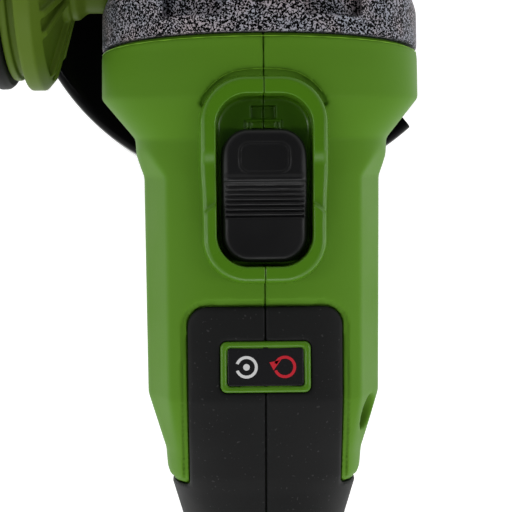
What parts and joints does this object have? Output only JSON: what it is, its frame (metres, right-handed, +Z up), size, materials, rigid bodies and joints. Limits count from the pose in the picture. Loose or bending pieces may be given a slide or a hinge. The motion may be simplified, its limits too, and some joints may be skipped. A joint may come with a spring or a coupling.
{
  "type": "angle grinder",
  "caption": "Cordless angle grinder with a half guard, flanged side handle, slide switch, spindle lock and slide-on battery.",
  "frame": {"origin": "spindle axis at the spindle's lower end face", "axes": "+Z up to the switch side, along the spindle; +Y forward to the gear head, along the body; +X to the right"},
  "size_m": [0.2308, 0.37, 0.113],
  "materials": {
    "green_plastic": "satin moulded nylon with a fine grain",
    "soft_black": "soft matt overmould",
    "badge": "smooth label",
    "hammered_paint": "black and silver vein paint on a casting",
    "cast_aluminium": "fine cast",
    "steel": "ground",
    "dark_steel": "blackened",
    "copper": "enamelled copper winding on laminations",
    "black_plastic": "satin moulded",
    "guard_paint": "gloss black powder coat",
    "circuit_board": "solder mask",
    "cell_wrap": "shrink wrap"
  },
  "bodies": {
    "grinder": {"housing_left": "green_plastic", "housing_right": "green_plastic", "grip_left": "soft_black", "grip_right": "soft_black", "badge_plate": "badge", "gear_housing": "hammered_paint", "bearing_cover": "cast_aluminium", "spindle_bearing_lower": "steel", "spindle_bearing_upper": "steel", "motor_bearing_front": "steel", "motor_bearing_rear": "steel", "stator": "copper", "fan_baffle": "black_plastic", "motor_end_cap": "black_plastic", "lock_button_spring": "steel", "switch_spring": "steel", "microswitch": "black_plastic", "controller": "circuit_board", "heat_sink": "cast_aluminium", "battery_terminals": "black_plastic", "handle_core": "green_plastic", "handle_sleeve": "soft_black", "handle_stud": "steel", "head_screw_1": "dark_steel", "head_screw_2": "dark_steel", "head_screw_3": "dark_steel", "head_screw_4": "dark_steel", "cover_screw_1": "dark_steel", "cover_screw_2": "dark_steel", "cover_screw_3": "dark_steel", "cover_screw_4": "dark_steel", "housing_screw_1": "dark_steel", "housing_screw_2": "dark_steel", "housing_screw_3": "dark_steel"},
    "spindle_unit": {"spindle": "steel", "crown_wheel": "dark_steel", "inner_flange": "steel", "lock_nut": "dark_steel"},
    "rotor_unit": {"rotor_shaft": "steel", "rotor": "dark_steel", "fan": "black_plastic", "pinion": "dark_steel"},
    "guard_body": {"guard": "guard_paint"},
    "guard_lever_body": {"guard_lever": "dark_steel"},
    "switch_body": {"switch_slider": "black_plastic", "switch_rod": "black_plastic"},
    "lock_button_body": {"lock_button": "black_plastic"},
    "battery": {"battery_case": "black_plastic", "battery_cover": "black_plastic", "battery_board": "circuit_board", "battery_button_spring": "steel", "cell_1": "cell_wrap", "cell_2": "cell_wrap", "cell_3": "cell_wrap", "cell_4": "cell_wrap", "cell_5": "cell_wrap"},
    "battery_button_body": {"battery_button": "green_plastic"}
  },
  "joints": [
    {"name": "spindle_spin", "type": "hinge", "parent": "grinder", "child": "spindle_unit", "pos_m": [0, 0, 0], "axis": [0, 0, 1], "continuous": true},
    {"name": "motor_spin", "type": "hinge", "parent": "grinder", "child": "rotor_unit", "pos_m": [0, 0, 0.07], "axis": [0, 1, 0], "continuous": true},
    {"name": "guard_turn", "type": "hinge", "parent": "grinder", "child": "guard_body", "pos_m": [0, 0, 0.033], "axis": [0, 0, 1], "range_deg": [-90, 90]},
    {"name": "guard_lever_turn", "type": "hinge", "parent": "guard_body", "child": "guard_lever_body", "pos_m": [0.01427, 0.02684, 0.0327], "axis": [0, 0, 1], "range_deg": [0, 60]},
    {"name": "switch_slide", "type": "slide", "parent": "grinder", "child": "switch_body", "axis": [0, 1, 0], "range_m": [0, 0.007], "stiffness_N_per_m": 250, "deforming": ["switch_spring"]},
    {"name": "lock_button_press", "type": "slide", "parent": "grinder", "child": "lock_button_body", "axis": [0, 0, -1], "range_m": [0, 0.004], "stiffness_N_per_m": 600, "springref_m": -0.002, "deforming": ["lock_button_spring"]},
    {"name": "battery_slide", "type": "slide", "parent": "grinder", "child": "battery", "axis": [0, -1, 0], "range_m": [0, 0.09]},
    {"name": "battery_button_press", "type": "slide", "parent": "battery", "child": "battery_button_body", "axis": [0, 1, 0], "range_m": [0, 0.0025], "stiffness_N_per_m": 800, "deforming": ["battery_button_spring"]}
  ],
  "couplings": [
    {"joint": "motor_spin", "follows": "spindle_spin", "ratio": -3.3636}
  ]
}
